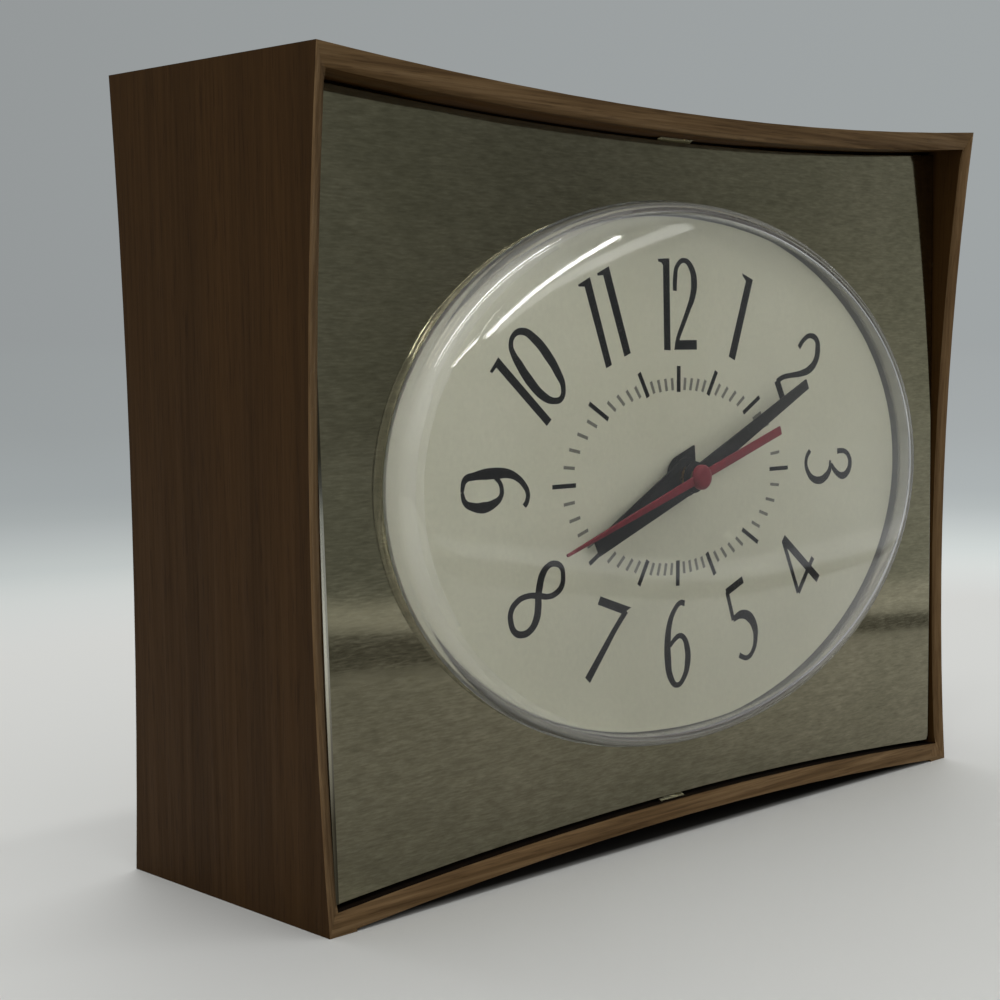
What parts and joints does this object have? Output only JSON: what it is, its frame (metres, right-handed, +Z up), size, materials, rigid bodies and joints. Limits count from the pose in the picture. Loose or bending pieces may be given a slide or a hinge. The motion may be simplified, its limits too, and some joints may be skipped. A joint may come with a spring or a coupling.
{
  "type": "electric clock",
  "caption": "Mains alarm clock with a hollow-fronted rectangular case, an oval domed lens over a lit dial, four hands, a synchronous motor and a gear train, and setting knobs at the back.",
  "frame": {"origin": "bottom centre of the clock's bounding box, at the level the case stands on", "axes": "+Z up; the dial faces -Y; +X to the right as seen from the front"},
  "size_m": [0.158, 0.0594, 0.12],
  "materials": {
    "case": "satin, moulded with a fine woodgrain",
    "case_back": "matt brown",
    "face_metal": "brushed across, olive grey lacquer",
    "clear_lens": "clear, polished",
    "dial_white": "matt, warm white, printed",
    "white_moulding": "matt white",
    "plated_steel": "zinc plated",
    "black_hand": "satin black",
    "red_hand": "gloss red",
    "brass_parts": "turned and cut",
    "screw_steel": "bright",
    "arbor_steel": "ground",
    "spring_steel": "blued",
    "black_moulding": "gloss black",
    "copper_can": "copper plated",
    "core_steel": "varnished laminations",
    "bobbin_tan": "matt tan",
    "coil_tape": "varnished tape",
    "copper_rings": "bare copper",
    "lamp_glass": "clear",
    "black_rubber": "matt black"
  },
  "bodies": {
    "case": {"case_shell": "case", "face_plate": "face_metal", "lens": "clear_lens", "dial": "dial_white", "reflector_pan": "white_moulding", "pan_nuts": "plated_steel", "front_frame_plate": "plated_steel", "back_frame_plate": "plated_steel", "centre_bush": "brass_parts", "frame_pillars": "brass_parts", "pillar_screws": "screw_steel", "pan_screws": "screw_steel", "motion_stud": "arbor_steel", "rotor_can": "copper_can", "stator_core": "core_steel", "stator_screws": "screw_steel", "coil_bobbin": "bobbin_tan", "field_coil": "coil_tape", "coil_terminals": "brass_parts", "shading_rings": "copper_rings", "buzzer_reed": "spring_steel", "reed_post": "brass_parts", "lamp_socket": "white_moulding", "lamp_base": "brass_parts", "lamp_glass": "lamp_glass", "back_cover": "case_back", "cover_screws": "screw_steel", "cord_grommet": "black_rubber"},
    "second": {"second_arbor": "arbor_steel", "seconds_wheel": "brass_parts", "second_hand": "red_hand"},
    "minute": {"minute_tube": "brass_parts", "minute_wheel": "brass_parts", "clutch_spring": "spring_steel", "minute_hand": "black_hand"},
    "hour": {"hour_wheel": "brass_parts", "hour_hand": "black_hand"},
    "intermediate": {"intermediate_wheel": "brass_parts"},
    "motion": {"motion_wheel": "brass_parts"},
    "motor_pinion": {"rotor_pinion": "arbor_steel"},
    "time_set": {"time_set_shaft": "arbor_steel", "time_knob": "black_moulding"},
    "alarm": {"alarm_wheel": "brass_parts", "alarm_hand": "black_hand"},
    "alarm_set": {"alarm_set_shaft": "arbor_steel", "alarm_knob": "black_moulding"},
    "alarm_pull": {"alarm_plunger": "arbor_steel", "alarm_pull_knob": "black_moulding"}
  },
  "joints": [
    {"name": "minute_turn", "type": "hinge", "parent": "case", "child": "minute", "pos_m": [0, -0.02098, 0.0598], "axis": [0, 0.9992, -0.0401], "continuous": true},
    {"name": "second_turn", "type": "hinge", "parent": "case", "child": "second", "pos_m": [0, -0.02098, 0.0598], "axis": [0, 0.9992, -0.0401], "continuous": true},
    {"name": "hour_turn", "type": "hinge", "parent": "case", "child": "hour", "pos_m": [0, -0.02098, 0.0598], "axis": [0, 0.9992, -0.0401], "continuous": true},
    {"name": "intermediate_turn", "type": "hinge", "parent": "case", "child": "intermediate", "pos_m": [-0.01278, -0.00118, 0.05435], "axis": [0, 0.9992, -0.0401], "continuous": true},
    {"name": "motion_turn", "type": "hinge", "parent": "case", "child": "motion", "pos_m": [0.00735, -0.00275, 0.06524], "axis": [0, 0.9992, -0.0401], "continuous": true},
    {"name": "motor_pinion_turn", "type": "hinge", "parent": "case", "child": "motor_pinion", "pos_m": [0, 0.00254, 0.04735], "axis": [0, 0.9992, -0.0401], "continuous": true},
    {"name": "time_set_turn", "type": "hinge", "parent": "case", "child": "time_set", "pos_m": [0.01675, 0.00938, 0.06818], "axis": [0, 0.9992, -0.0401], "continuous": true},
    {"name": "alarm_turn", "type": "hinge", "parent": "case", "child": "alarm", "pos_m": [0, -0.02098, 0.0598], "axis": [0, 0.9992, -0.0401], "continuous": true},
    {"name": "alarm_set_turn", "type": "hinge", "parent": "case", "child": "alarm_set", "pos_m": [-0.01029, 0.00949, 0.07084], "axis": [0, 0.9992, -0.0401], "continuous": true},
    {"name": "alarm_pull_slide", "type": "slide", "parent": "case", "child": "alarm_pull", "axis": [0, 0.9992, -0.0401], "range_m": [0, 0.004]}
  ],
  "couplings": [
    {"joint": "intermediate_turn", "follows": "minute_turn", "ratio": -8},
    {"joint": "second_turn", "follows": "minute_turn", "ratio": 60},
    {"joint": "motor_pinion_turn", "follows": "minute_turn", "ratio": -216},
    {"joint": "motion_turn", "follows": "minute_turn", "ratio": -0.33333},
    {"joint": "hour_turn", "follows": "minute_turn", "ratio": 0.083333},
    {"joint": "time_set_turn", "follows": "minute_turn", "ratio": 0.85714},
    {"joint": "alarm_set_turn", "follows": "alarm_turn", "ratio": -3}
  ]
}
